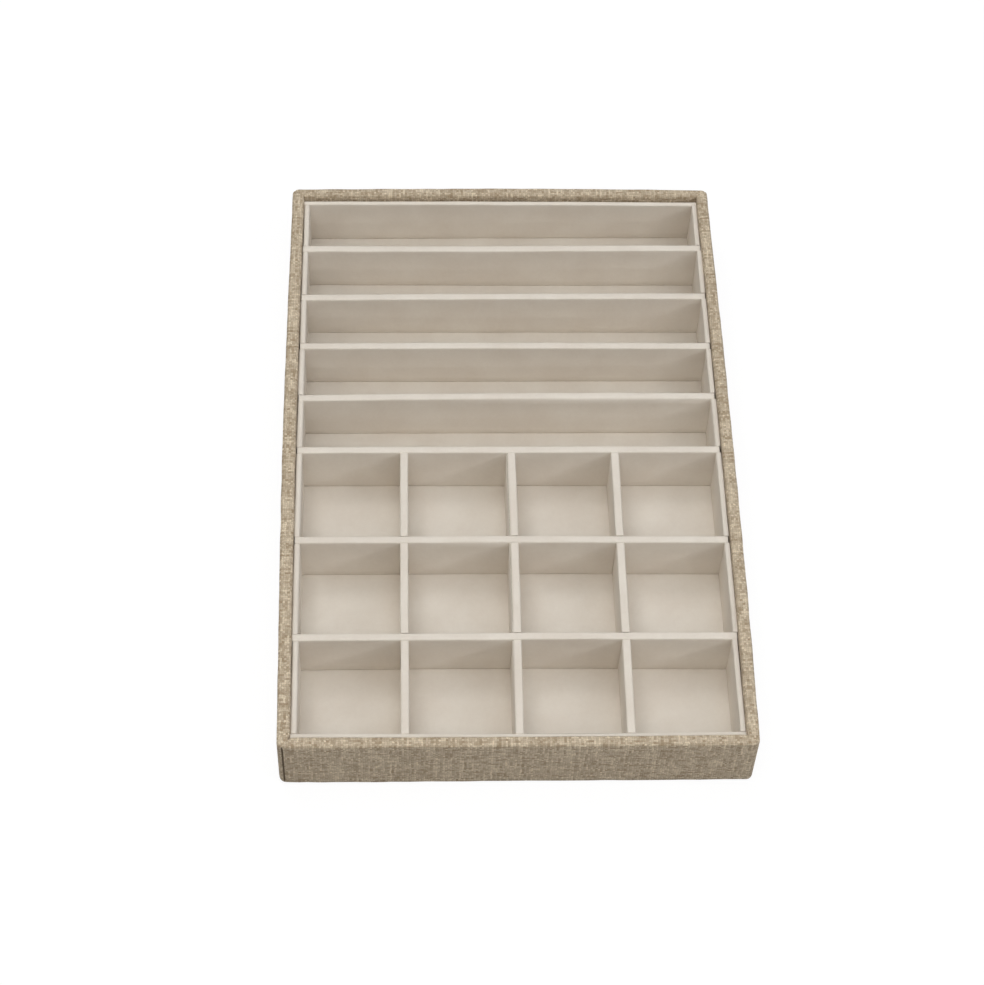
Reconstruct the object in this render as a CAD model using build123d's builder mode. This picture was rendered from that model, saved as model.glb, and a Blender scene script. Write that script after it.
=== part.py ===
from build123d import *
import os

# Jewelry tray: a low box of board wrapped in woven cloth, with a suede-covered grid inside.
# Millimetres. The origin is the middle of the underside. +X is to the right, +Y runs from
# the near-square compartments at the front to the long slots at the rear, and +Z is up.

# Outside of the tray
tray_width = 241.0
tray_length = 368.0
tray_height = 38.0
corner_radius = 3.5
rim_radius = 1.6
foot_radius = 2.0

# Woven cover and the boards inside it
cloth = 1.0
wall_board = 4.5
base_board_thickness = 2.0
turn_in = 20.0
hem = 15.0
seam = 0.4
mitre_angle = 45.0

# Felt on the underside, pressed thin where it lies over the hem
felt_over_hem = 0.6
felt_inset = 4.0
felt_corner = 2.0
felt_gap = 0.3

# Floor of the compartments
floor_card_thickness = 0.7
suede = 0.5

# Grid: wrapped strips that stand on the floor
grid_recess = 3.0
liner_gap = 0.5
liner_card_thickness = 1.5
liner_edge = 0.8
divider_card_thickness = 3.0
divider_edge = 1.1
slot_opening = 31.5
spacer_gap = 0.15
crossing_gap = 0.1
slots = 5
rows = 3
columns = 4

# Heights, from the underside up
hem_bottom = felt_over_hem
board_bottom = hem_bottom + cloth
base_top = board_bottom + base_board_thickness
floor_card_top = base_top + floor_card_thickness
floor_top = floor_card_top + suede
grid_top = tray_height - grid_recess
board_top = tray_height - cloth
turn_in_end = tray_height - turn_in
grid_height = grid_top - floor_top
card_height = grid_height - suede
crossing_height = grid_height / 2

# The well between the wall boards, the mouth inside the cloth, and the grid inside that
well_width = tray_width - 2 * (cloth + wall_board)
well_length = tray_length - 2 * (cloth + wall_board)
mouth_width = well_width - 2 * cloth
mouth_length = well_length - 2 * cloth
grid_width = mouth_width - 2 * liner_gap
grid_length = mouth_length - 2 * liner_gap

# Compartments: the slots have their own width, the squares share what is left
liner = liner_card_thickness + 2 * suede
divider = divider_card_thickness + 2 * suede
side_face = grid_width / 2 - liner
end_face = grid_length / 2 - liner
slot_pitch = slot_opening + divider
squares_end = end_face - slots * slot_pitch
row_opening = (squares_end + end_face - (rows - 1) * divider) / rows
row_pitch = row_opening + divider
column_opening = (2 * side_face - (columns - 1) * divider) / columns
column_pitch = column_opening + divider

slot_divider_places = [end_face - n * slot_pitch + divider / 2 for n in range(1, slots + 1)]
row_divider_places = [squares_end - n * row_pitch + divider / 2 for n in range(1, rows)]
column_divider_places = [n * column_pitch - divider / 2 - side_face for n in range(1, columns)]
slot_places = [end_face - n * slot_pitch - slot_opening / 2 for n in range(slots)]
row_places = [squares_end - n * row_pitch - row_opening / 2 for n in range(rows)]

os.makedirs("parts", exist_ok=True)


def upright_strip(place, size_x, size_y, height, edge):
    """A strip that stands on the floor lining, with its two long top edges rounded."""
    long_axis = Axis.X if size_x > size_y else Axis.Y
    with BuildPart() as strip:
        with BuildSketch(Plane.XY.offset(floor_top)):
            with Locations(place):
                Rectangle(size_x, size_y)
        extrude(amount=height)
        fillet(strip.edges().filter_by(long_axis).group_by(Axis.Z)[-1], radius=edge)
    return strip.part


# The four wall boards as one rounded frame, before it is cut at the corner joints
with BuildPart() as board_frame:
    with BuildSketch(Plane.XY.offset(board_bottom)):
        RectangleRounded(tray_width - 2 * cloth, tray_length - 2 * cloth, corner_radius - cloth)
        Rectangle(well_width, well_length, mode=Mode.SUBTRACT)
    extrude(amount=board_top - board_bottom)
    fillet(board_frame.edges().group_by(Axis.Z)[-1], radius=rim_radius - cloth)
    foot_face = board_frame.faces().sort_by(Axis.Z)[0]
    fillet(foot_face.outer_wire().edges(), radius=foot_radius - cloth)

# The side boards run the full length, and the end boards stand between them
side_board_x = (well_width + wall_board) / 2
end_board_y = (well_length + wall_board) / 2
wall_boards = {
    "left_wall_board": ((-side_board_x, 0), (wall_board, tray_length)),
    "right_wall_board": ((side_board_x, 0), (wall_board, tray_length)),
    "front_wall_board": ((0, -end_board_y), (well_width, wall_board)),
    "rear_wall_board": ((0, end_board_y), (well_width, wall_board)),
}
for name, (place, size) in wall_boards.items():
    with BuildPart() as wall:
        add(board_frame.part)
        with BuildSketch(Plane.XY.offset(board_bottom)):
            with Locations(place):
                Rectangle(*size)
        extrude(amount=board_top - board_bottom, mode=Mode.INTERSECT)
    wall.part.label = name
    export_step(wall.part, f"parts/{name}.step")

# Base board, inside the feet of the wall boards
with BuildPart() as base_board:
    with BuildSketch(Plane.XY.offset(board_bottom)):
        Rectangle(well_width, well_length)
    extrude(amount=base_board_thickness)
base_board.part.label = "base_board"
export_step(base_board.part, "parts/base_board.step")

# Woven cover: one strip up the outside, over the rim, down inside and under the foot
with BuildPart() as fabric_wrap:
    with BuildSketch(Plane.XY.offset(hem_bottom)):
        RectangleRounded(tray_width, tray_length, corner_radius)
    extrude(amount=tray_height - hem_bottom)
    fillet(fabric_wrap.edges().group_by(Axis.Z)[-1], radius=rim_radius)
    fillet(fabric_wrap.edges().group_by(Axis.Z)[0], radius=foot_radius)
    with BuildSketch(Plane.XY.offset(hem_bottom)):
        Rectangle(tray_width - 2 * hem, tray_length - 2 * hem)
    extrude(amount=cloth, mode=Mode.SUBTRACT)
    with BuildSketch(Plane.XY.offset(board_bottom)):
        Rectangle(well_width, well_length)
    extrude(amount=turn_in_end - board_bottom, mode=Mode.SUBTRACT)
    with BuildSketch(Plane.XY.offset(turn_in_end)):
        Rectangle(mouth_width, mouth_length)
    extrude(amount=turn_in, mode=Mode.SUBTRACT)
    rim_face = fabric_wrap.faces().filter_by(Axis.Z).sort_by(Axis.Z)[-1]
    fillet(rim_face.inner_wires()[0].edges(), radius=rim_radius)
    add(board_frame.part, mode=Mode.SUBTRACT)
    # The two ends of the strip meet in a mitre at the front left corner, in a slit that is
    # centred on the corner and long enough to cross the whole hem
    seam_length = 4 * hem
    with BuildSketch(Plane.XY.offset(hem_bottom)):
        with Locations((-tray_width / 2, -tray_length / 2)):
            Rectangle(seam_length, seam, rotation=mitre_angle)
    extrude(amount=tray_height - hem_bottom, mode=Mode.SUBTRACT)
fabric_wrap.part.label = "fabric_wrap"
export_step(fabric_wrap.part, "parts/fabric_wrap.step")

# Felt underneath: thin over the hem, full thickness up to the base board inside it
with BuildPart() as bottom_felt:
    with BuildSketch():
        RectangleRounded(tray_width - 2 * felt_inset, tray_length - 2 * felt_inset, felt_corner)
    extrude(amount=felt_over_hem)
    with BuildSketch(Plane.XY.offset(felt_over_hem)):
        Rectangle(tray_width - 2 * (hem + felt_gap), tray_length - 2 * (hem + felt_gap))
    extrude(amount=cloth)
bottom_felt.part.label = "bottom_felt"
export_step(bottom_felt.part, "parts/bottom_felt.step")

# Floor card on the base board, and the suede on it
with BuildPart() as floor_card:
    with BuildSketch(Plane.XY.offset(base_top)):
        Rectangle(well_width, well_length)
    extrude(amount=floor_card_thickness)
floor_card.part.label = "floor_card"
export_step(floor_card.part, "parts/floor_card.step")

with BuildPart() as floor_lining:
    with BuildSketch(Plane.XY.offset(floor_card_top)):
        Rectangle(well_width, well_length)
    extrude(amount=suede)
floor_lining.part.label = "floor_lining"
export_step(floor_lining.part, "parts/floor_lining.step")

# Liner strips across the full width of the grid, at its rear and front ends
liner_y = (grid_length - liner) / 2
for name, y in {"rear": liner_y, "front": -liner_y}.items():
    core = upright_strip((0, y), grid_width, liner_card_thickness, card_height, liner_edge - suede)
    body = upright_strip((0, y), grid_width, liner, grid_height, liner_edge)
    with BuildPart() as liner_card:
        add(core)
    liner_card.part.label = f"{name}_liner_card"
    export_step(liner_card.part, f"parts/{name}_liner_card.step")

    with BuildPart() as liner_suede:
        add(body)
        add(core, mode=Mode.SUBTRACT)
    liner_suede.part.label = f"{name}_liner_suede"
    export_step(liner_suede.part, f"parts/{name}_liner_suede.step")

# Where dividers cross, the one across is cut from below and the long one from above
crossings = [(x, y) for x in column_divider_places for y in row_divider_places]
notch = divider + 2 * crossing_gap
with BuildPart() as lower_notches:
    with BuildSketch(Plane.XY.offset(floor_top)):
        with Locations(*crossings):
            Rectangle(notch, notch)
    extrude(amount=crossing_height + crossing_gap)
with BuildPart() as upper_notches:
    with BuildSketch(Plane.XY.offset(floor_top + crossing_height)):
        with Locations(*crossings):
            Rectangle(notch, notch)
    extrude(amount=grid_height)

# Dividers across the tray, numbered from the rear
for number, y in enumerate(slot_divider_places + row_divider_places, start=1):
    core = upright_strip((0, y), grid_width, divider_card_thickness, card_height, divider_edge - suede)
    body = upright_strip((0, y), grid_width, divider, grid_height, divider_edge)
    with BuildPart() as across_card:
        add(core)
        add(lower_notches.part, mode=Mode.SUBTRACT)
    across_card.part.label = f"across_divider_{number}_card"
    export_step(across_card.part, f"parts/across_divider_{number}_card.step")

    with BuildPart() as across_suede:
        add(body)
        add(core, mode=Mode.SUBTRACT)
        add(lower_notches.part, mode=Mode.SUBTRACT)
    across_suede.part.label = f"across_divider_{number}_suede"
    export_step(across_suede.part, f"parts/across_divider_{number}_suede.step")

# Dividers along the tray, from the last slot's divider to the front liner, left to right
long_length = squares_end + end_face
long_y = (squares_end - end_face) / 2
for number, x in enumerate(column_divider_places, start=1):
    core = upright_strip((x, long_y), divider_card_thickness, long_length, card_height, divider_edge - suede)
    body = upright_strip((x, long_y), divider, long_length, grid_height, divider_edge)
    with BuildPart() as long_card:
        add(core)
        add(upper_notches.part, mode=Mode.SUBTRACT)
    long_card.part.label = f"long_divider_{number}_card"
    export_step(long_card.part, f"parts/long_divider_{number}_card.step")

    with BuildPart() as long_suede:
        add(body)
        add(core, mode=Mode.SUBTRACT)
        add(upper_notches.part, mode=Mode.SUBTRACT)
    long_suede.part.label = f"long_divider_{number}_suede"
    export_step(long_suede.part, f"parts/long_divider_{number}_suede.step")

# Spacer strips along the side walls, between the dividers: one suede sleeve for each
# compartment end, numbered from the rear, and their cards in two groups of equal length
spacer_x = (grid_width - liner) / 2
spacers = [(y, slot_opening) for y in slot_places] + [(y, row_opening) for y in row_places]
short_cores = []
long_cores = []
for side, x in {"left": -spacer_x, "right": spacer_x}.items():
    for number, (y, opening) in enumerate(spacers, start=1):
        length = opening - 2 * spacer_gap
        core = upright_strip((x, y), liner_card_thickness, length, card_height, liner_edge - suede)
        body = upright_strip((x, y), liner, length, grid_height, liner_edge)
        same_length = short_cores if number <= slots else long_cores
        same_length.append(core)
        with BuildPart() as spacer_suede:
            add(body)
            add(core, mode=Mode.SUBTRACT)
        spacer_suede.part.label = f"{side}_spacer_{number}_suede"
        export_step(spacer_suede.part, f"parts/{side}_spacer_{number}_suede.step")

with BuildPart() as slot_spacer_cards:
    add(short_cores)
slot_spacer_cards.part.label = "slot_spacer_cards"
export_step(slot_spacer_cards.part, "parts/slot_spacer_cards.step")

with BuildPart() as row_spacer_cards:
    add(long_cores)
row_spacer_cards.part.label = "row_spacer_cards"
export_step(row_spacer_cards.part, "parts/row_spacer_cards.step")

print(f"slot {slot_opening:.2f}, row {row_opening:.2f}, column {column_opening:.2f}")
print(f"floor at {floor_top:.2f}, grid top at {grid_top:.2f}, depth {grid_height:.2f}")
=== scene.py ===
import math

import bmesh
import bpy
from bpy.props import FloatProperty, FloatVectorProperty, PointerProperty
from mathutils import Matrix, Vector, noise


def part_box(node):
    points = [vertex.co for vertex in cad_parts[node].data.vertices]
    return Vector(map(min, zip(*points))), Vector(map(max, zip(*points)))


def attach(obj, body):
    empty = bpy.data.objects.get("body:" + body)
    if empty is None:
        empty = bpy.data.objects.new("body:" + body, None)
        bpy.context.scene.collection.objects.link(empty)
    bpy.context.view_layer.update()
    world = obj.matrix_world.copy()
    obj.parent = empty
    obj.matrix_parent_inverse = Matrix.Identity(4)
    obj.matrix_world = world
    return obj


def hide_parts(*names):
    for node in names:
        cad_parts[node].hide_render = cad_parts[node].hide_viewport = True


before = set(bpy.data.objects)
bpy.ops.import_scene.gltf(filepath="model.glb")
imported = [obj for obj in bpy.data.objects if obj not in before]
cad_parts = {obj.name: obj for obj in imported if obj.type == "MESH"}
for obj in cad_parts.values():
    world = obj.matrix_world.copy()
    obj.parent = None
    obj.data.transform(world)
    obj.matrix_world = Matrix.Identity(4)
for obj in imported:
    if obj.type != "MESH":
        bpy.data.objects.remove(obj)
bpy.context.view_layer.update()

bl_info = {
    "name": "Jewelry tray",
    "version": (1, 0, 0),
    "blender": (4, 5, 0),
    "location": "3D View > Sidebar > Tray",
    "description": "Dresses a compartment tray in woven cloth, suede and felt, and sets a plain studio",
    "category": "Add Mesh",
}

# The packed model's boxes give the sizes that the pieces have to fit. Everything is in metres.
MM = 0.001
COVER_LOW, COVER_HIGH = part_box("fabric_wrap")
FELT_LOW, FELT_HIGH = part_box("bottom_felt")
LINING_LOW, LINING_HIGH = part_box("floor_lining")
SUEDE = LINING_HIGH.z - LINING_LOW.z

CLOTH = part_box("left_wall_board")[0].x - COVER_LOW.x
RIM_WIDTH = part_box("left_wall_board")[1].x + CLOTH - COVER_LOW.x
CROSSING_GAP = 0.1 * MM
CUT_TOLERANCE = 0.001 * MM
WELD_DISTANCE = 0.01 * MM

# Where a strip's suede is scored more closely, in millimetres from a cut and from its foot.
BESIDE_CUT = (-1.5, -1.0, -0.6, -0.3, 0, 0.3, 0.6, 1.0, 1.5)
ABOVE_FOOT = (0.3, 0.7, 1.2)

SLOTS = 5
ACROSS_DIVIDERS = range(1, 8)
CROSSED_DIVIDERS = (6, 7)
LONG_DIVIDERS = range(1, 4)
SPACERS = range(1, 9)
QUARTER = math.pi / 2

# How far the strips stand off their places, in millimetres: along the top and the foot, to the rear or right.
# Each has its left or front end, its middle, and its right or rear end.
LINER_PUSHES = {
    "rear": ((-0.5, -0.4, -0.8), (-0.7, 0, 0.3)),
    "front": ((0, -0.9, -0.4), (0, -0.5, -0.3)),
}
ACROSS_PUSHES = {
    1: ((-0.5, -0.1, 0.5), (-0.2, -0.6, -0.5)),
    2: ((-0.5, 0.1, 0.6), (0, 0, 0)),
    3: ((0.15, 0.4, 0.15), (0.1, 0.2, 0.4)),
    4: ((-0.2, 0.8, 0.7), (-0.5, -0.5, -0.5)),
    5: ((0.1, 0.1, 0), (-0.6, -0.8, -1.0)),
    6: ((0.5, 0.8, 0.1), (0.1, 0.3, -0.4)),
    7: ((-0.6, -0.4, -0.7), (-0.2, 0.1, -0.9)),
}
LONG_PUSHES = {
    1: ((0.1, 0.1, 0.2), (0, 0, 0)),
    2: ((0.6, 1.3, 1.35), (0.2, 0.7, 0.8)),
    3: ((-0.2, 0.2, 0.3), (0, 0, 0)),
}
# The same for the spacers, towards their side wall, from the rear one to the front one.
SPACER_PUSHES = {
    "left": (-0.35, 0.0, 0.2, 0.36, 0.3, 0.4, 0.2, -0.4),
    "right": (-0.2, 0.35, 0.35, 0.5, 0.7, 0.6, 0.6, -0.2),
}

# Where each lamp hangs, and the length of its square face.
LAMPS = {
    "top": ((0, 0.1, 1.9), 1.5),
    "right": ((1.0, -0.55, 1.1), 0.9),
    "front": ((-0.2, -1.1, 1.5), 1.0),
    "left": ((-1.1, -0.5, 1.1), 0.9),
    "rear": ((-0.35, 0.9, 1.4), 1.0),
    "low": ((1.2, -1.4, 0.8), 0.15),
}
TABLE_REACH = 3.0
WHITE = (1, 1, 1)


def shade(red, green, blue):
    """A colour as a screen shows it, 0 to 255, turned into the linear values that a shader takes."""
    linear = []
    for value in (red, green, blue):
        part = value / 255
        linear.append(part / 12.92 if part <= 0.04045 else ((part + 0.055) / 1.055) ** 2.4)
    return tuple(linear)


def length_setting(name, millimetres, description):
    """A length that the user can change."""
    return FloatProperty(name=name, default=millimetres * MM, min=0, subtype="DISTANCE", unit="LENGTH",
                         precision=5, description=description)


def line_setting(wall, face, millimetres):
    """How far a wall's face stands out from a straight line, at five evenly spaced places."""
    ends = "front to rear" if wall in ("Left", "Right") else "left to right"
    return FloatVectorProperty(name=f"{wall} {face}", default=[value * MM for value in millimetres], size=5,
                               unit="LENGTH", precision=5, description=f"{wall} wall's {face}, {ends}")


def colour_setting(name, colour, description):
    """A colour that the user can change."""
    return FloatVectorProperty(name=name, default=colour, size=3, min=0, max=1, subtype="COLOR",
                               description=description)


def power_setting(name, watts, description):
    """The power of a lamp."""
    return FloatProperty(name=name, default=watts, min=0, unit="POWER", description=description)


def angle_setting(name, degrees, description):
    """An angle that the user can change."""
    return FloatProperty(name=name, default=math.radians(degrees), subtype="ANGLE", description=description)


class CoverSettings(bpy.types.PropertyGroup):
    """Sizes and colours of the woven cover"""
    corner_radius: length_setting("Corner radius", 3.5, "Rounding of the upright outer corners")
    rim_radius: length_setting("Rim radius", 1.5, "Rounding where the cloth turns over the rim")
    inner_radius: length_setting("Inner rim radius", 1.8, "Rounding where the cloth turns down inside")
    foot_radius: length_setting("Foot radius", 2.0, "Rounding where the cloth turns under the wall")
    seam_foot: length_setting("Foot radius at the seam", 2.8, "The same rounding at the seam")
    hem: length_setting("Hem", 15.0, "Cloth under the tray, from the outside of the wall")
    turn_in: length_setting("Turn-in", 20.0, "Cloth down the inside of the wall, from the rim")
    seam: length_setting("Seam", 1.1, "Gap between the cloth's two ends")
    wrap: length_setting("Wrap", 2.6, "How far the left wall's cloth runs on round the corner")
    left_outside: line_setting("Left", "outside", (-0.85, 0.2, 0.85, 0.4, -0.55))
    left_inside: line_setting("Left", "inside", (-0.9, -0.15, 0.15, 0.0, -0.75))
    right_outside: line_setting("Right", "outside", (-0.85, 0.15, 0.35, 0.1, -0.6))
    right_inside: line_setting("Right", "inside", (-0.6, 0.35, 0.5, 0.2, -0.5))
    front_outside: line_setting("Front", "outside", (0, 0, 0, 0, 0))
    front_inside: line_setting("Front", "inside", (0.1, 0.5, 0.6, 0.5, 0.1))
    rear_outside: line_setting("Rear", "outside", (-0.4, 0.1, 0.5, 0.25, -0.65))
    rear_inside: line_setting("Rear", "inside", (0.3, 0.8, 0.85, 0.8, 0.5))
    crease: length_setting("Crease", 0.3, "Depth of the fold across the rim at each corner")
    unevenness: length_setting("Unevenness", 0.14, "Waviness of the glued cloth")
    thread: length_setting("Thread pitch", 1.2, "Distance from one thread to the next")
    slub: length_setting("Slub length", 9.0, "Length over which a thread swells and changes tone")
    dark_thread: colour_setting("Dark threads", shade(160, 142, 117), "Darkest threads of the weave")
    mid_thread: colour_setting("Middle threads", shade(190, 174, 151), "Most threads of the weave")
    light_thread: colour_setting("Light threads", shade(221, 206, 181), "Palest slubs of the weave")


class LiningSettings(bpy.types.PropertyGroup):
    """Sizes and colours of the suede"""
    divider_edge: length_setting("Divider edge", 0.8, "Rounding along the top of a divider")
    liner_edge: length_setting("Liner edge", 0.7, "Rounding on top of the rear liner and the right spacers")
    front_edge: length_setting("Front liner edge", 0.9, "Rounding along the top of the front liner")
    left_edge: length_setting("Left spacers' edge", 1.3, "Rounding along the top of the left spacers")
    left_fuller: length_setting("Left spacers' fullness", 0.45, "How much thicker the left spacers are")
    plump: length_setting("Plumpness", 0.15, "How far the suede stands off its card on each side")
    tuck: length_setting("Tuck", 0.32, "How far the suede draws in at its foot")
    dip: length_setting("Dip", 0.06, "How far a strip's top sinks where it meets another")
    unevenness: length_setting("Unevenness", 0.06, "Waviness of the wrapped strips and the floor")
    lean: length_setting("Lean", 0.12, "How far the top of a strip wanders from a straight line")
    suede: colour_setting("Suede", shade(219, 212, 201), "Colour of the suede")
    brushed: colour_setting("Brushed suede", shade(211, 202, 190), "Colour where the nap lies the other way")


class InnerSettings(bpy.types.PropertyGroup):
    """Colours of the felt, the boards and the cards"""
    board: colour_setting("Board", shade(124, 112, 96), "Colour of the grey board")
    card: colour_setting("Card", shade(186, 178, 164), "Colour of the card")
    felt: colour_setting("Felt", shade(160, 147, 127), "Colour of the felt")


class StudioSettings(bpy.types.PropertyGroup):
    """Light and camera"""
    top_power: power_setting("Top lamp", 12.4, "Wide lamp over the tray")
    top_colour: colour_setting("Top colour", (0.93, 0.965, 1.0), "Colour of the top lamp")
    right_power: power_setting("Right lamp", 7.0, "Soft lamp above the right side")
    right_colour: colour_setting("Right colour", WHITE, "Colour of the right lamp")
    front_power: power_setting("Front lamp", 8.7, "Soft lamp high in front of the tray")
    front_colour: colour_setting("Front colour", (1.0, 0.965, 0.935), "Colour of the front lamp")
    left_power: power_setting("Left lamp", 4.0, "Soft lamp above the left side")
    left_colour: colour_setting("Left colour", (1.0, 0.93, 0.82), "Colour of the left lamp")
    rear_power: power_setting("Rear lamp", 8.9, "Soft lamp high behind the tray")
    rear_colour: colour_setting("Rear colour", WHITE, "Colour of the rear lamp")
    low_power: power_setting("Low lamp", 3.2, "Small low lamp in front on the right, for the shadows' edges")
    low_colour: colour_setting("Low colour", WHITE, "Colour of the low lamp")
    fill: FloatProperty(name="Fill", default=0.022, min=0, description="Even light from all round")
    fill_colour: colour_setting("Fill colour", (0.91, 0.94, 1.0), "Colour of the even light")
    lens: FloatProperty(name="Lens", default=89.48, min=1, unit="CAMERA", description="Focal length")
    camera_place: FloatVectorProperty(name="Camera", default=(-57.66 * MM, -774.1 * MM, 1097.2 * MM), size=3,
                                      subtype="TRANSLATION", description="Where the camera stands")
    look_down: angle_setting("Look down", 54.901, "Angle of the view below level")
    look_left: angle_setting("Look left", -3.675, "Turn of the view to the left")
    roll: angle_setting("Roll", 2.844, "Turn of the camera about its own view")


# Shapes

def evenly(start, end, step):
    """Places between start and end, about a step apart, without the two ends."""
    count = max(1, round((end - start) / step))
    return [start + (end - start) * n / count for n in range(1, count)]


def smooth_step(value):
    """0 below 0, 1 above 1, and a soft rise between them."""
    value = min(1, max(0, value))
    return value * value * (3 - 2 * value)


def through(values, place):
    """A soft curve through evenly spaced values, from the first at 0 to the last at 1."""
    last = len(values) - 1
    if last == 0:
        return values[0]
    spot = min(1, max(0, place)) * last
    start = min(int(spot), last - 1)
    part = spot - start
    first, second = values[start], values[start + 1]
    leaving = (second - values[max(start - 1, 0)]) / 2
    arriving = (values[min(start + 2, last)] - first) / 2
    curve = 3 * (second - first) - 2 * leaving - arriving
    twist = 2 * (first - second) + leaving + arriving
    return first + part * (leaving + part * (curve + part * twist))


def drift(seed, place, wavelength):
    """A soft wave from about -1 to 1 along a piece, different for each seed."""
    apart_y, apart_z = 7.3, 1.7
    return 2 * noise.noise(Vector((place / wavelength, seed * apart_y, seed * apart_z)))


def follow(distance, start, heading, runs):
    """The point and the heading at a distance along straight runs and round bends, each (length, turn)."""
    across, up = start
    for length, turn in runs:
        step = min(distance, length)
        angle = turn * step / length
        if turn:
            radius = length / turn
            across += radius * (math.sin(heading + angle) - math.sin(heading))
            up -= radius * (math.cos(heading + angle) - math.cos(heading))
        else:
            across += step * math.cos(heading)
            up += step * math.sin(heading)
        heading += angle
        distance -= step
        if distance <= 0:
            break
    return across, up, heading


def total(runs):
    """The length of cloth that the runs take."""
    return sum(length for length, turn in runs)


def fold_rows(runs, cuts_per_bend, step):
    """Where cloth is scored across its depth: closely in the bends, and a step apart between them."""
    rows = []
    start = 0
    for length, turn in runs:
        rows.append(start)
        rows += evenly(start, start + length, length / cuts_per_bend if turn else step)
        start += length
    return rows[1:]


def flat_cloth(length, depth, columns, rows):
    """Cloth laid flat, its length along X and its depth from 0 up along Y, scored where it will bend."""
    bm = bmesh.new()
    bmesh.ops.create_grid(bm, x_segments=1, y_segments=1, size=0.5)
    bmesh.ops.scale(bm, vec=(length, depth, 1), verts=bm.verts)
    bmesh.ops.translate(bm, vec=(0, depth / 2, 0), verts=bm.verts)
    for axis, places in ((Vector((1, 0, 0)), columns), (Vector((0, 1, 0)), rows)):
        for place in places:
            whole = bm.verts[:] + bm.edges[:] + bm.faces[:]
            bmesh.ops.bisect_plane(bm, geom=whole, dist=CUT_TOLERANCE, plane_co=axis * place, plane_no=axis)
    return bm


def turned(bm, quarters):
    """Turns a piece about the upright axis."""
    bmesh.ops.rotate(bm, cent=(0, 0, 0), matrix=Matrix.Rotation(quarters * QUARTER, 3, "Z"), verts=bm.verts)


def meshed(bm, name):
    """A mesh made of a bmesh, which is used up."""
    mesh = bpy.data.meshes.new(name)
    bm.to_mesh(mesh)
    bm.free()
    return mesh


def placed(name, data):
    """An object in the scene."""
    thing = bpy.data.objects.new(name, data)
    bpy.context.scene.collection.objects.link(thing)
    return thing


def finish_piece(bm, name, nodes, material, thickness=0.0):
    """Makes the bmesh a piece that rides with the tray and stands for its CAD nodes."""
    for face in bm.faces:
        face.smooth = True
    mesh = meshed(bm, name)
    mesh.materials.append(material)
    piece = placed(name, mesh)
    if thickness:
        wall = piece.modifiers.new("thickness", "SOLIDIFY")
        wall.thickness = thickness
        wall.offset = -1
        wall.use_even_offset = True
    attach(piece, "root")
    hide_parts(*nodes)
    return piece


# Materials

def put(tree, socket, value):
    """Gives a socket a number, a colour or another node's output."""
    if isinstance(value, bpy.types.NodeSocket):
        tree.links.new(value, socket)
    elif socket.type == "RGBA":
        socket.default_value = (*value, 1.0)
    else:
        socket.default_value = value


def fill(tree, node, *values, **named):
    """Puts values or other nodes' outputs in a node's first sockets, or in the ones that are named."""
    for socket, value in zip(node.inputs, values):
        put(tree, socket, value)
    for name, value in named.items():
        put(tree, node.inputs[name.replace("_", " ")], value)
    return node


def math_node(tree, operation, *values):
    """The result of a Math node."""
    node = tree.nodes.new("ShaderNodeMath")
    node.operation = operation
    return fill(tree, node, *values).outputs[0]


def times(tree, first, second):
    """Two numbers multiplied."""
    return math_node(tree, "MULTIPLY", first, second)


def vector_node(tree, operation, first, second):
    """The result of a Vector Math node."""
    node = tree.nodes.new("ShaderNodeVectorMath")
    node.operation = operation
    return fill(tree, node, first, second).outputs[0]


def joined(tree, x, y, z):
    """A vector from three values."""
    return fill(tree, tree.nodes.new("ShaderNodeCombineXYZ"), x, y, z).outputs[0]


def counted(tree, place, size):
    """A place counted in cells of a size."""
    per_cell = math_node(tree, "DIVIDE", 1.0, size)
    return vector_node(tree, "MULTIPLY", place, joined(tree, per_cell, per_cell, per_cell))


def cloud(tree, vector, detail, roughness=0.5):
    """Noise from 0 to 1, one cell to each unit of the vector."""
    node = tree.nodes.new("ShaderNodeTexNoise")
    return fill(tree, node, Vector=vector, Scale=1, Detail=detail, Roughness=roughness).outputs[0]


def stretch(tree, value, low, high, to_low=0.0, to_high=1.0):
    """Stretches what lies between low and high over another range."""
    node = tree.nodes.new("ShaderNodeMapRange")
    return fill(tree, node, value, low, high, to_low, to_high).outputs[0]


def blend(tree, factor, first, second):
    """One colour turned into another by a factor."""
    node = tree.nodes.new("ShaderNodeMix")
    node.data_type = "RGBA"
    colours = [socket for socket in node.inputs if socket.type == "RGBA"]
    put(tree, node.inputs[0], factor)
    put(tree, colours[0], first)
    put(tree, colours[1], second)
    return [socket for socket in node.outputs if socket.type == "RGBA"][0]


def mixed(tree, factor, first, second):
    """One shader turned into another by a factor."""
    node = tree.nodes.new("ShaderNodeMixShader")
    return fill(tree, node, factor, first.outputs[0], second.outputs[0])


def new_group(name, place, sizes, outputs):
    """An empty node group that takes a place and sizes: its tree, its input sockets and its output node."""
    tree = bpy.data.node_groups.new(name, "ShaderNodeTree")
    tree.interface.new_socket(place, in_out="INPUT", socket_type="NodeSocketVector")
    for way, sockets in (("INPUT", sizes), ("OUTPUT", outputs)):
        for socket in sockets:
            tree.interface.new_socket(socket, in_out=way, socket_type="NodeSocketFloat")
    return tree, tree.nodes.new("NodeGroupInput").outputs, tree.nodes.new("NodeGroupOutput")


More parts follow.
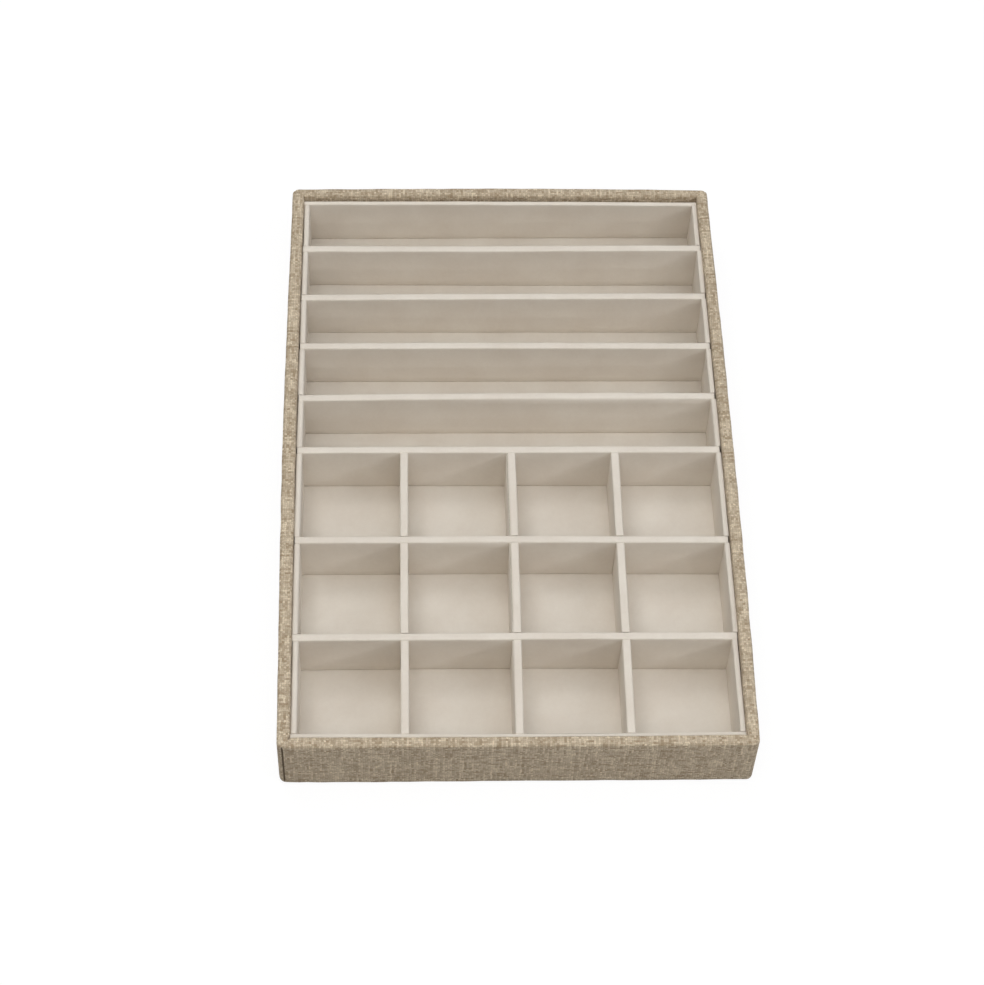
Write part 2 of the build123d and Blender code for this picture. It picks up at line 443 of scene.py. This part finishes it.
def nap_group(name):
    """Node group: the brushed patches, the grain and the height of a napped surface."""
    results = ("Patches", "Grain", "Height")
    tree, given, end = new_group(name, "Place", ("Patch size", "Grain size"), results)
    patch_place = counted(tree, given["Place"], given["Patch size"])
    grain_place = counted(tree, given["Place"], given["Grain size"])
    fine = cloud(tree, grain_place, 2.0, 0.65)
    coarse = cloud(tree, vector_node(tree, "MULTIPLY", grain_place, (0.2, 0.2, 0.2)), 2.0, 0.6)
    both = math_node(tree, "MULTIPLY_ADD", coarse, 0.5, times(tree, fine, 0.5))
    patches = stretch(tree, cloud(tree, patch_place, 3.0), 0.35, 0.65)
    fill(tree, end, Patches=patches, Grain=stretch(tree, both, 0.35, 0.65), Height=both)
    return tree


def weave_group(name):
    """Node group: threads over and under each other, with slubs, on the cloth's flat coordinates."""
    tree, given, end = new_group(name, "Cloth", ("Pitch", "Slub length"), ("Height", "Tone", "Furrow"))
    threads = counted(tree, given["Cloth"], given["Pitch"])

    def wander(frequency):
        """How far threads stray from straight lines, in threads."""
        swing = cloud(tree, vector_node(tree, "MULTIPLY", threads, frequency), 2.0)
        return math_node(tree, "MULTIPLY_ADD", swing, 1.6, -0.8)

    swings = joined(tree, wander((0.15, 0.3, 1)), wander((0.32, 0.14, 1)), 0.0)
    split = tree.nodes.new("ShaderNodeSeparateXYZ")
    fill(tree, split, Vector=vector_node(tree, "ADD", threads, swings))
    u, v = split.outputs[0], split.outputs[1]
    warp, weft = math_node(tree, "FLOOR", u), math_node(tree, "FLOOR", v)

    def roundness(place):
        """A thread's round back, 0 at its edges and 1 in the middle."""
        off_centre = math_node(tree, "SUBTRACT", math_node(tree, "FRACT", place), 0.5)
        return math_node(tree, "MULTIPLY_ADD", times(tree, off_centre, off_centre), -4.0, 1.0)

    def thread_height(own, other):
        """A thread's height where it lies over another."""
        return times(tree, own, math_node(tree, "MULTIPLY_ADD", other, 0.4, 0.6))

    def chosen(over, when_weft, when_warp):
        """The value of the thread that lies on top."""
        difference = math_node(tree, "SUBTRACT", when_warp, when_weft)
        return math_node(tree, "MULTIPLY_ADD", difference, over, when_weft)

    weft_slub = math_node(tree, "DIVIDE", given["Pitch"], given["Slub length"])
    warp_slub = times(tree, weft_slub, 0.45)
    warp_apart, weft_apart, weft_layer = 7.31, 5.17, 9.0
    warp_place = joined(tree, times(tree, warp, warp_apart), times(tree, v, warp_slub), 0.0)
    weft_place = joined(tree, times(tree, u, weft_slub), times(tree, weft, weft_apart), weft_layer)
    over = math_node(tree, "FLOORED_MODULO", math_node(tree, "ADD", warp, weft), 2.0)
    weft_tone, warp_tone = cloud(tree, weft_place, 1.5), cloud(tree, warp_place, 1.5)
    crossing = times(tree, math_node(tree, "ADD", weft_tone, warp_tone), 0.5)
    speck = tree.nodes.new("ShaderNodeTexWhiteNoise")
    fill(tree, speck, Vector=joined(tree, warp, weft, 0.0))
    specks = math_node(tree, "MULTIPLY_ADD", speck.outputs[0], 0.4, -0.2)
    whole_tone = math_node(tree, "ADD", crossing, chosen(over, weft_tone, warp_tone))
    tone = stretch(tree, math_node(tree, "ADD", whole_tone, specks), 0.66, 1.34)
    warp_round, weft_round = roundness(u), roundness(v)
    height = chosen(over, thread_height(weft_round, warp_round), thread_height(warp_round, weft_round))
    swollen = times(tree, height, math_node(tree, "MULTIPLY_ADD", tone, 0.5, 0.7))
    # Furrow is 1 in the low gaps between the threads, where the cloth's material paints shade.
    fill(tree, end, Height=swollen, Tone=tone, Furrow=stretch(tree, height, 0.0, 0.45, 1.0, 0.0))
    return tree


def fibre_group(name):
    """Node group: the specks and the height of pressed fibre."""
    tree, given, end = new_group(name, "Place", ("Fibre size",), ("Specks", "Height"))
    place = counted(tree, given["Place"], given["Fibre size"])
    along = cloud(tree, vector_node(tree, "MULTIPLY", place, (1.0, 0.25, 1.0)), 3.0, 0.6)
    across = cloud(tree, vector_node(tree, "MULTIPLY", place, (0.25, 1.0, 1.0)), 3.0, 0.6)
    fibres = math_node(tree, "MAXIMUM", along, across)
    fill(tree, end, Specks=stretch(tree, fibres, 0.45, 0.75), Height=fibres)
    return tree


def blank_material(name, roughness):
    """A material with its node tree and its shader."""
    material = bpy.data.materials.new(name)
    material.use_nodes = True
    tree = material.node_tree
    shader = fill(tree, tree.nodes["Principled BSDF"], Roughness=roughness, Specular_IOR_Level=0.2)
    return material, tree, shader


def placed_group(tree, name, make_group, **values):
    """The outputs of a group placed in a material with its own values. The group is made only once."""
    node = tree.nodes.new("ShaderNodeGroup")
    node.node_tree = bpy.data.node_groups.get(name) or make_group(name)
    return fill(tree, node, **values).outputs


def relief(tree, shader, height, depth, strength):
    """Bump of a real depth on the shader."""
    bump = tree.nodes.new("ShaderNodeBump")
    fill(tree, bump, Distance=depth, Strength=strength, Height=height)
    fill(tree, shader, Normal=bump.outputs[0])


def tray_place(tree):
    """Where a point is on the tray."""
    return tree.nodes.new("ShaderNodeTexCoord").outputs["Object"]


def suede_material():
    """Cream suede, with soft patches where the nap turns."""
    if "cream suede" in bpy.data.materials:
        return bpy.data.materials["cream suede"]
    settings = bpy.context.scene.tray_lining
    material, tree, shader = blank_material("cream suede", 0.95)
    place = tray_place(tree)
    nap = placed_group(tree, "nap", nap_group, Place=place, Patch_size=22 * MM, Grain_size=0.4 * MM)
    turn = math_node(tree, "MULTIPLY_ADD", nap["Grain"], 0.4, times(tree, nap["Patches"], 0.6))
    colour = blend(tree, turn, settings.suede, settings.brushed)
    fill(tree, shader, Base_Color=colour, Sheen_Weight=0.1, Sheen_Roughness=0.5)
    relief(tree, shader, nap["Height"], depth=0.15 * MM, strength=0.6)
    return material


def woven_material():
    """Tan slubbed cloth that follows the cover's own flat coordinates."""
    settings = bpy.context.scene.tray_cover
    material, tree, shader = blank_material("tan slub weave", 0.85)
    cloth = tree.nodes.new("ShaderNodeUVMap")
    cloth.uv_map = "cloth"
    weave = placed_group(tree, "plain weave", weave_group, Cloth=cloth.outputs[0], Pitch=settings.thread,
                         Slub_length=settings.slub)
    darkness = stretch(tree, weave["Tone"], 0.0, 0.5, 1.0, 0.0)
    lightness = stretch(tree, weave["Tone"], 0.5, 1.0)
    colour = blend(tree, darkness, settings.mid_thread, settings.dark_thread)
    colour = blend(tree, lightness, colour, settings.light_thread)
    # Painted shade: the low furrows between the threads are darkened towards half the dark threads' colour.
    shadowed = tuple(part * 0.5 for part in settings.dark_thread)
    colour = blend(tree, times(tree, weave["Furrow"], 0.5), colour, shadowed)
    fill(tree, shader, Base_Color=colour, Sheen_Weight=0.08)
    relief(tree, shader, weave["Height"], depth=0.3 * MM, strength=0.8)
    return material


def fibre_material(name, colour, fibre, contrast, depth):
    """Pressed fibre: board, card or felt."""
    material, tree, shader = blank_material(name, 0.95)
    fibres = placed_group(tree, "fibres", fibre_group, Place=tray_place(tree), Fibre_size=fibre)
    darker = tuple(part * (1 - contrast) for part in colour)
    fill(tree, shader, Base_Color=blend(tree, fibres["Specks"], colour, darker))
    relief(tree, shader, fibres["Height"], depth=depth, strength=0.7)
    return material


# Pieces

def cover_runs(settings):
    """The cloth's way round a wall: hem, foot, outside, rim, and down the inside."""
    height = COVER_HIGH.z - COVER_LOW.z
    return [
        (settings.hem - settings.foot_radius, 0),
        (settings.foot_radius * QUARTER, -QUARTER),
        (height - settings.foot_radius - settings.rim_radius, 0),
        (settings.rim_radius * QUARTER, -QUARTER),
        (RIM_WIDTH - settings.rim_radius - settings.inner_radius, 0),
        (settings.inner_radius * QUARTER, -QUARTER),
        (settings.turn_in - settings.inner_radius, 0),
    ]


def seam_pull(settings, up, to_end):
    """How far the cloth at the seam draws back, and how far it sinks."""
    soft = 2 * MM
    above_foot = smooth_step((up - 1.5 * MM) / soft)
    below_rim = smooth_step((COVER_HIGH.z - 0.5 * MM - up) / soft)
    back = settings.seam / 2 * smooth_step(1 - to_end / soft) * above_foot * below_rim
    groove = (0.65 - 0.3 * below_rim) * MM
    return back, groove * math.exp(-(to_end / (0.8 * MM)) ** 2) * above_foot


def cover_wall(settings, half_length, reach, start, seed, creases, seam_side):
    """The cloth on one wall, folded as if that wall were the front one, its ends cut on the mitre."""
    runs = cover_runs(settings)
    finely, ease, wave, fold_width = 9 * MM, 20 * MM, 14 * MM, 0.7 * MM
    near = half_length - finely
    ends = evenly(near, half_length, 0.5 * MM)
    columns = evenly(-near, near, 3 * MM) + [near, -near] + ends + [-place for place in ends]
    bm = flat_cloth(2 * half_length, total(runs), columns, fold_rows(runs, 5, 2.5 * MM))
    cloth = bm.loops.layers.uv.new("cloth")
    for vert in bm.verts:
        along, depth = vert.co.x, vert.co.y
        inward, up, heading = follow(depth, (settings.hem, COVER_LOW.z), math.pi, runs)
        out_in, out_up = -math.sin(heading), math.cos(heading)
        end = math.copysign(1, along)
        to_seam = max(0, settings.wrap - inward) if end == seam_side else 0
        cut = half_length - inward + seam_side * to_seam
        past = abs(along) - (half_length - ease)
        if past > 0:
            along = end * (half_length - ease + past * (cut - half_length + ease) / ease)
        for loop in vert.link_loops:
            loop[cloth].uv = (start + half_length + along, depth)
        to_end = cut - abs(along)
        to_mitre = abs(half_length - inward - abs(along))
        rise = smooth_step(up / COVER_HIGH.z)
        clear = smooth_step(to_mitre / (8 * MM))
        lift = settings.unevenness * drift(seed + 20 + 3 * inward / RIM_WIDTH, along, wave) * clear
        fold = math.exp(-(to_mitre / fold_width) ** 2)
        lift -= creases[int(end > 0)] * fold * rise
        if end == seam_side:
            back, sink = seam_pull(settings, up, to_end)
            along -= end * back
            lift -= sink
        round_corner = max(0, abs(along) - (half_length - inward))
        if round_corner:
            place = (end * (half_length - inward - out_in * lift), -reach + inward + round_corner)
        else:
            place = (along - end * lift * out_in * fold, -reach + inward + out_in * lift)
        vert.co = (*place, up + out_up * lift)
    return bm


def ease_foot(bm, settings):
    """Rounds the foot more at the front left corner, where the cloth's two ends meet."""
    reach = 12 * MM
    for vert in bm.verts:
        if vert.co.x > 0 or vert.co.y > 0:
            continue
        from_left, from_front = vert.co.x - COVER_LOW.x, vert.co.y - COVER_LOW.y
        share = smooth_step(1 - max(from_left, from_front) / reach)
        radius = settings.foot_radius + share * (settings.seam_foot - settings.foot_radius)
        past_side = radius - min(from_left, from_front)
        past_foot = radius - (vert.co.z - COVER_LOW.z)
        if share and past_side > 0 and past_foot > 0:
            keep = min(1, radius / math.hypot(past_side, past_foot))
            if from_left < from_front:
                vert.co.x = COVER_LOW.x + radius - past_side * keep
            else:
                vert.co.y = COVER_LOW.y + radius - past_side * keep
            vert.co.z = COVER_LOW.z + radius - past_foot * keep


def bend_walls(bm, settings):
    """Moves the cloth with the walls, which aren't quite straight."""
    half = Vector((COVER_HIGH.x, COVER_HIGH.y))
    still, fade = 20 * MM, 10 * MM
    lines = (((settings.left_outside, settings.left_inside), (settings.right_outside, settings.right_inside)),
             ((settings.front_outside, settings.front_inside), (settings.rear_outside, settings.rear_inside)))
    for vert in bm.verts:
        moved = vert.co.copy()
        for axis in (0, 1):
            way = math.copysign(1, vert.co[axis])
            outside, inside = lines[axis][int(way > 0)]
            inward = half[axis] - abs(vert.co[axis])
            along = (vert.co[1 - axis] / half[1 - axis] + 1) / 2
            share = min(1, max(0, inward / RIM_WIDTH))
            out = through(outside, along) * (1 - share) + through(inside, along) * share
            moved[axis] += way * out * smooth_step((still - inward) / fade)
        vert.co = moved


def round_corners(bm, radius):
    """Turns the cover's square upright corners into round ones."""
    corner = Vector((COVER_HIGH.x - radius, COVER_HIGH.y - radius))
    for vert in bm.verts:
        past_x, past_y = abs(vert.co.x) - corner.x, abs(vert.co.y) - corner.y
        if past_x > 0 and past_y > 0:
            keep = max(past_x, past_y) / math.hypot(past_x, past_y)
            vert.co.x = math.copysign(corner.x + past_x * keep, vert.co.x)
            vert.co.y = math.copysign(corner.y + past_y * keep, vert.co.y)


class TRAY_OT_woven_cover(bpy.types.Operator):
    """Folds slubbed cloth round the four walls, with its seam at the front left corner"""
    bl_idname = "tray.woven_cover"
    bl_label = "Woven cover"

    def execute(self, context):
        settings = context.scene.tray_cover
        crease = settings.crease
        width, length = COVER_HIGH.x - COVER_LOW.x, COVER_HIGH.y - COVER_LOW.y
        walls = [
            (width / 2, length / 2, 0, (0, crease), -1),
            (length / 2, width / 2, width, (crease, crease), 0),
            (width / 2, length / 2, width + length, (crease, 1.5 * crease), 0),
            (length / 2, width / 2, 2 * width + length, (1.5 * crease, 0), 1),
        ]
        whole = bmesh.new()
        for number, (half_length, reach, start, creases, seam_side) in enumerate(walls):
            wall = cover_wall(settings, half_length, reach, start, number, creases, seam_side)
            turned(wall, number)
            laid = meshed(wall, "wall")
            whole.from_mesh(laid)
            bpy.data.meshes.remove(laid)
        bmesh.ops.remove_doubles(whole, verts=whole.verts, dist=WELD_DISTANCE)
        ease_foot(whole, settings)
        round_corners(whole, settings.corner_radius)
        bend_walls(whole, settings)
        piece = finish_piece(whole, "woven_cover", ["fabric_wrap"], woven_material(), CLOTH)
        return {"FINISHED"}


class TRAY_OT_bottom_felt(bpy.types.Operator):
    """Lays the felt on the underside, pressed thin where it covers the hem"""
    bl_idname = "tray.bottom_felt"
    bl_label = "Underside felt"

    def execute(self, context):
        settings = context.scene.tray_cover
        width, length = FELT_HIGH.x - FELT_LOW.x, FELT_HIGH.y - FELT_LOW.y
        thin, thick = COVER_LOW.z - FELT_LOW.z, FELT_HIGH.z - FELT_LOW.z
        step = settings.hem - (FELT_LOW.x - COVER_LOW.x) + 0.3 * MM
        ramp, rounding, worn = 0.7 * MM, 1.2 * MM, 0.18 * MM
        cuts = []
        for half in (width / 2, length / 2):
            edge = [half - place for place in (0.3 * MM, 0.9 * MM, 1.6 * MM, step, step + ramp)]
            cuts.append(evenly(-half, half, 6 * MM) + edge + [-place for place in edge])
        bm = flat_cloth(width, length, cuts[0], [place + length / 2 for place in cuts[1]])
        bmesh.ops.translate(bm, vec=(0, -length / 2, 0), verts=bm.verts)
        lower = set(bm.verts)
        bmesh.ops.extrude_face_region(bm, geom=bm.faces[:], use_keep_orig=True)
        for vert in bm.verts:
            inset = min(width / 2 - abs(vert.co.x), length / 2 - abs(vert.co.y))
            soft = worn * (1 - smooth_step(inset / rounding))
            if vert in lower:
                vert.co.z = soft
                continue
            middle = smooth_step((inset - step) / ramp)
            vert.co.z = (thin - soft) * (1 - middle) + thick * middle
        bmesh.ops.recalc_face_normals(bm, faces=bm.faces)
        # The extrusion makes the sides in an order that changes from run to run, so the faces are put in one.
        in_order = sorted(bm.faces, key=lambda face: tuple(face.calc_center_median()))
        for index, face in enumerate(in_order):
            face.index = index
        bm.faces.sort()
        colour = tuple(context.scene.tray_inner.felt)
        felt = fibre_material("tan felt", colour, fibre=0.9 * MM, contrast=0.3, depth=0.25 * MM)
        piece = finish_piece(bm, "underside_felt", ["bottom_felt"], felt)
        return {"FINISHED"}


class TRAY_OT_floor_lining(bpy.types.Operator):
    """Lays one sheet of suede over the whole floor"""
    bl_idname = "tray.floor_lining"
    bl_label = "Floor lining"

    def execute(self, context):
        settings = context.scene.tray_lining
        width, length = LINING_HIGH.x - LINING_LOW.x, LINING_HIGH.y - LINING_LOW.y
        step, wave_x, wave_y = 4 * MM, 40 * MM, 45 * MM
        bm = flat_cloth(width, length, evenly(-width / 2, width / 2, step), evenly(0, length, step))
        for vert in bm.verts:
            x, y = vert.co.x, vert.co.y - length / 2
            vert.co = (x, y, LINING_HIGH.z + settings.unevenness * drift(40 + y / wave_y, x, wave_x))
        piece = finish_piece(bm, "floor_suede", ["floor_lining"], suede_material(), SUEDE)
        return {"FINISHED"}


def centre(node, axis):
    """The middle of a node along an axis."""
    low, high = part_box(node)
    return (low[axis] + high[axis]) / 2


def card_thickness(node):
    """The thickness of a strip's card."""
    low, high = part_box(node)
    return min(high.x - low.x, high.y - low.y)


def strip_spot(strip, crossing, axis):
    """How far along a strip another one crosses it, from 0 to 1."""
    low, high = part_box(strip)
    return (centre(crossing, axis) - low[axis]) / (high[axis] - low[axis])


def meeting(place, pushes, spot):
    """Where along a strip another meets it, and how far that one stands off there, at its top and foot."""
    top, foot = pushes
    return place, through(top, spot), through(foot, spot)


def shifted(along, rise, meets):
    """How far a strip's suede moves along, so that it keeps to the strips that it meets."""
    before = meets[0]
    for after in meets[1:]:
        if along <= after[0]:
            break
        before = after
    share = min(1, max(0, (along - before[0]) / max(after[0] - before[0], MM)))
    top = before[1] + (after[1] - before[1]) * share
    foot = before[2] + (after[2] - before[2]) * share
    return (top * rise + foot * (1 - rise)) * MM


def wrapped_strip(node, card, edge, seed, top, foot, joints=(), cut_above=False, meets=(), fuller=0.0):
    """A strip's suede: folded over the top of its card, open below, and notched where strips cross."""
    settings = bpy.context.scene.tray_lining
    low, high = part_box(node)
    lengthwise = high.y - low.y > high.x - low.x
    length, thick = high.x - low.x, high.y - low.y
    if lengthwise:
        length, thick = thick, length
    thick += 2 * settings.plump + fuller
    height = high.z - low.z
    over = edge * QUARTER
    runs = [(height - edge, 0), (over, -QUARTER), (thick - 2 * edge, 0), (over, -QUARTER), (height - edge, 0)]
    depth = total(runs)
    half_notch = thick / 2 + CROSSING_GAP
    cuts = [-length / 2, length / 2]
    notches = [joint + side * half_notch for joint in joints for side in (-1, 1)]
    columns = evenly(-length / 2, length / 2, 3 * MM)
    for cut in cuts + notches:
        columns += [cut + off * MM for off in BESIDE_CUT]
    rows = fold_rows(runs, 4, 4 * MM) + [height / 2, depth - height / 2]
    for off in ABOVE_FOOT:
        rows += [off * MM, depth - off * MM]
    bm = flat_cloth(length, depth, columns, rows)

    def beside_cut(down):
        """Whether the notches reach this far down the suede."""
        return (height / 2 <= down <= depth - height / 2) == cut_above

    gone = []
    for face in bm.faces:
        place = face.calc_center_median()
        if beside_cut(place.y) and any(abs(place.x - joint) < half_notch for joint in joints):
            gone.append(face)
    bmesh.ops.delete(bm, geom=gone, context="FACES")
    cover = card / 2 + 0.06 * MM
    end_round, foot_round, wave, lean_wave = 1.5 * MM, 1.2 * MM, 16 * MM, 70 * MM
    for vert in bm.verts:
        along, down = vert.co.x, vert.co.y
        side, up, heading = follow(down, (-thick / 2, low.z), QUARTER, runs)
        out_side, out_up = -math.sin(heading), math.cos(heading)
        to_cut = min(abs(along - cut) for cut in (cuts + notches if beside_cut(down) else cuts))
        drawn = smooth_step(1 - to_cut / end_round) ** 2
        tucked = smooth_step(1 - (up - low.z) / foot_round)
        rise = (up - low.z) / height
        lift = settings.unevenness * drift(seed + side / thick, along, wave) * (1 - drawn)
        lift -= drawn * settings.dip + settings.tuck * tucked * (1 - drawn)
        spot = along / length + 0.5
        push = (through(top, spot) * rise + through(foot, spot) * (1 - rise)) * MM * (-1 if lengthwise else 1)
        place = side + out_side * lift + push + settings.lean * drift(seed + 60, along, lean_wave) * rise
        if abs(out_side) > 0.99:
            place = math.copysign(max(abs(place), cover), side)
        if meets:
            along += shifted(along, rise, meets)
        vert.co = (along, place, up + out_up * lift)
    if lengthwise:
        turned(bm, 1)
    bmesh.ops.translate(bm, vec=(centre(node, 0), centre(node, 1), 0), verts=bm.verts)
    return bm, length, depth


def add_sleeve(name, card, like, edge, seed, **shape):
    """Makes one strip's suede a piece on its card. A card like that gives the thickness."""
    bm, length, depth = wrapped_strip(f"{name}_suede", card_thickness(like), edge, seed, **shape)
    piece = finish_piece(bm, f"{name}_sleeve", [f"{name}_suede"], suede_material(), SUEDE)


class TRAY_OT_end_liners(bpy.types.Operator):
    """Wraps the strips that line the front and rear walls"""
    bl_idname = "tray.end_liners"
    bl_label = "End liners"

    def execute(self, context):
        settings = context.scene.tray_lining
        for seed, (end, (top, foot)) in enumerate(LINER_PUSHES.items()):
            edge = settings.front_edge if end == "front" else settings.liner_edge
            card = f"{end}_liner_card"
            add_sleeve(f"{end}_liner", card, card, edge, seed, top=top, foot=foot)
        return {"FINISHED"}


class TRAY_OT_across_dividers(bpy.types.Operator):
    """Wraps the seven dividers that run from side to side, notched below where the long ones cross"""
    bl_idname = "tray.across_dividers"
    bl_label = "Across dividers"

    def execute(self, context):
        edge = context.scene.tray_lining.divider_edge
        joints = [centre(f"long_divider_{number}_card", 0) for number in LONG_DIVIDERS]
        low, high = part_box("across_divider_1_suede")
        half = (high.x - low.x) / 2
        for number in ACROSS_DIVIDERS:
            name = f"across_divider_{number}"
            card = f"{name}_card"
            top, foot = ACROSS_PUSHES[number]
            crossed, meets = (), ()
            if number in CROSSED_DIVIDERS:
                crossed = joints
                spot = strip_spot("long_divider_1_suede", card, 1)
                meets = [meeting(place, pushes, spot) for place, pushes in zip(joints, LONG_PUSHES.values())]
                meets = [(-half, 0, 0), *meets, (half, 0, 0)]
            add_sleeve(name, card, card, edge, 10 + number, top=top, foot=foot, joints=crossed, meets=meets)
        return {"FINISHED"}


class TRAY_OT_long_dividers(bpy.types.Operator):
    """Wraps the three dividers that part the squares into columns, notched above where the others cross"""
    bl_idname = "tray.long_dividers"
    bl_label = "Long dividers"

    def execute(self, context):
        edge = context.scene.tray_lining.divider_edge
        for number in LONG_DIVIDERS:
            name = f"long_divider_{number}"
            card = f"{name}_card"
            top, foot = LONG_PUSHES[number]
            low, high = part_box(f"{name}_suede")
            middle = (low.y + high.y) / 2
            spot = strip_spot("across_divider_5_suede", card, 0)
            joints = [centre(f"across_divider_{other}_card", 1) - middle for other in CROSSED_DIVIDERS]
            meets = [meeting(low.y - middle, LINER_PUSHES["front"], spot),
                     meeting(joints[1], ACROSS_PUSHES[7], spot),
                     meeting(joints[0], ACROSS_PUSHES[6], spot),
                     meeting(high.y - middle, ACROSS_PUSHES[5], spot)]
            add_sleeve(name, card, card, edge, 20 + number, top=top, foot=foot, joints=joints, cut_above=True,
                       meets=meets)
        return {"FINISHED"}


class TRAY_OT_spacers(bpy.types.Operator):
    """Wraps the short strips along the side walls, between the across dividers"""
    bl_idname = "tray.spacers"
    bl_label = "Side spacers"

    def execute(self, context):
        settings = context.scene.tray_lining
        sides = (("left", -1, settings.left_edge, settings.left_fuller),
                 ("right", 1, settings.liner_edge, 0.0))
        for side, way, edge, fuller in sides:
            for number in SPACERS:
                name = f"{side}_spacer_{number}"
                card = "slot_spacer_cards" if number <= SLOTS else "row_spacer_cards"
                push = (way * SPACER_PUSHES[side][number - 1] + fuller / 2 / MM,)
                low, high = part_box(f"{name}_suede")
                half = (high.y - low.y) / 2
                behind = ACROSS_PUSHES.get(number - 1, LINER_PUSHES["rear"])
                before = ACROSS_PUSHES.get(number, LINER_PUSHES["front"])
                spot = max(0, way)
                meets = [meeting(-half, before, spot), meeting(half, behind, spot)]
                add_sleeve(name, card, "rear_liner_card", edge, 40 + number + 5 * way, top=push, foot=push,
                           meets=meets, fuller=fuller)
        return {"FINISHED"}


class TRAY_OT_boards_and_cards(bpy.types.Operator):
    """Gives the boards and cards under the cloth their finish"""
    bl_idname = "tray.boards_and_cards"
    bl_label = "Boards and cards"

    def execute(self, context):
        settings = context.scene.tray_inner
        grey, pale = tuple(settings.board), tuple(settings.card)
        board = fibre_material("grey board", grey, fibre=0.7 * MM, contrast=0.35, depth=0.08 * MM)
        card = fibre_material("pale card", pale, fibre=0.5 * MM, contrast=0.2, depth=0.05 * MM)
        for name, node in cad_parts.items():
            if not name.endswith(("_board", "_card", "_cards")):
                continue
            node.data.materials.clear()
            node.data.materials.append(board if name.endswith("_board") else card)
        return {"FINISHED"}


def add_table():
    """A wide table that looks white, though it throws back only half of its light."""
    bm = bmesh.new()
    bmesh.ops.create_grid(bm, x_segments=1, y_segments=1, size=TABLE_REACH)
    mesh = meshed(bm, "table")
    placed("table", mesh)
    material, tree, grey = blank_material("white table", 0.9)
    fill(tree, grey, Base_Color=(0.5, 0.5, 0.5))
    white = fill(tree, tree.nodes.new("ShaderNodeBsdfDiffuse"), Color=WHITE)
    glow = fill(tree, tree.nodes.new("ShaderNodeEmission"), Strength=1.02)
    seen = tree.nodes.new("ShaderNodeLightPath").outputs["Is Camera Ray"]
    surface = mixed(tree, seen, grey, mixed(tree, 0.9, white, glow))
    fill(tree, tree.nodes["Material Output"], Surface=surface.outputs[0])
    mesh.materials.append(material)


def add_surround(settings):
    """Even light from all round, white to the camera."""
    world = bpy.data.worlds.new("surround")
    world.use_nodes = True
    tree = world.node_tree
    even = fill(tree, tree.nodes["Background"], Color=settings.fill_colour, Strength=settings.fill)
    white = fill(tree, tree.nodes.new("ShaderNodeBackground"), Color=WHITE)
    ray = tree.nodes.new("ShaderNodeLightPath").outputs
    seen = math_node(tree, "MAXIMUM", ray["Is Camera Ray"], ray["Is Glossy Ray"])
    seen = math_node(tree, "MAXIMUM", seen, ray["Is Transmission Ray"])
    fill(tree, tree.nodes["World Output"], Surface=mixed(tree, seen, even, white).outputs[0])
    bpy.context.scene.world = world


def add_lamp(settings, name, place, size):
    """A square lamp that faces the tray."""
    light = bpy.data.lights.new(f"{name}_lamp", "AREA")
    light.size = size
    light.energy = getattr(settings, f"{name}_power")
    light.color = getattr(settings, f"{name}_colour")
    facing = (-place).to_track_quat("-Z", "Y").to_matrix().to_4x4()
    placed(light.name, light).matrix_world = Matrix.Translation(place) @ facing


def add_camera(settings):
    """The camera, in front of the tray and above it."""
    lens = bpy.data.cameras.new("camera")
    lens.lens = settings.lens
    lens.clip_start = 50 * MM
    camera = placed("camera", lens)
    turn = Matrix.Rotation(settings.look_left, 4, "Z") @ Matrix.Rotation(QUARTER - settings.look_down, 4, "X")
    turn = turn @ Matrix.Rotation(settings.roll, 4, "Z")
    camera.matrix_world = Matrix.Translation(settings.camera_place) @ turn
    bpy.context.scene.camera = camera


class TRAY_OT_studio(bpy.types.Operator):
    """Sets the white table, the lamps, the pale surround and the camera"""
    bl_idname = "tray.studio"
    bl_label = "Studio"

    def execute(self, context):
        settings = context.scene.tray_studio
        context.scene.view_settings.view_transform = "Standard"
        add_table()
        add_surround(settings)
        for name, (place, size) in LAMPS.items():
            add_lamp(settings, name, Vector(place), size)
        add_camera(settings)
        return {"FINISHED"}


OPERATORS = (TRAY_OT_woven_cover, TRAY_OT_bottom_felt, TRAY_OT_floor_lining, TRAY_OT_end_liners,
             TRAY_OT_across_dividers, TRAY_OT_long_dividers, TRAY_OT_spacers, TRAY_OT_boards_and_cards,
             TRAY_OT_studio)
SETTINGS = {"tray_cover": CoverSettings, "tray_lining": LiningSettings, "tray_inner": InnerSettings,
            "tray_studio": StudioSettings}


class TRAY_PT_build(bpy.types.Panel):
    """Lists the steps that dress the tray, and the values that they use"""
    bl_idname = "TRAY_PT_build"
    bl_label = "Jewelry tray"
    bl_space_type = "VIEW_3D"
    bl_region_type = "UI"
    bl_category = "Tray"

    def draw(self, context):
        for operator in OPERATORS:
            self.layout.operator(operator.bl_idname)
        for group, kind in SETTINGS.items():
            box = self.layout.box()
            box.label(text=kind.__doc__)
            for name in kind.__annotations__:
                box.prop(getattr(context.scene, group), name)


def register():
    """Adds the settings, the steps and the panel."""
    for kind in (*SETTINGS.values(), *OPERATORS, TRAY_PT_build):
        bpy.utils.register_class(kind)
    for group, kind in SETTINGS.items():
        setattr(bpy.types.Scene, group, PointerProperty(type=kind))


def unregister():
    """Takes them away again."""
    for group in SETTINGS:
        delattr(bpy.types.Scene, group)
    for kind in (TRAY_PT_build, *reversed(OPERATORS), *reversed(SETTINGS.values())):
        bpy.utils.unregister_class(kind)


def main():
    """Dresses the tray and sets the studio."""
    register()
    bpy.ops.tray.woven_cover()
    bpy.ops.tray.bottom_felt()
    bpy.ops.tray.floor_lining()
    bpy.ops.tray.end_liners()
    bpy.ops.tray.across_dividers()
    bpy.ops.tray.long_dividers()
    bpy.ops.tray.spacers()
    bpy.ops.tray.boards_and_cards()
    bpy.ops.tray.studio()


if __name__ == "__main__":
    main()
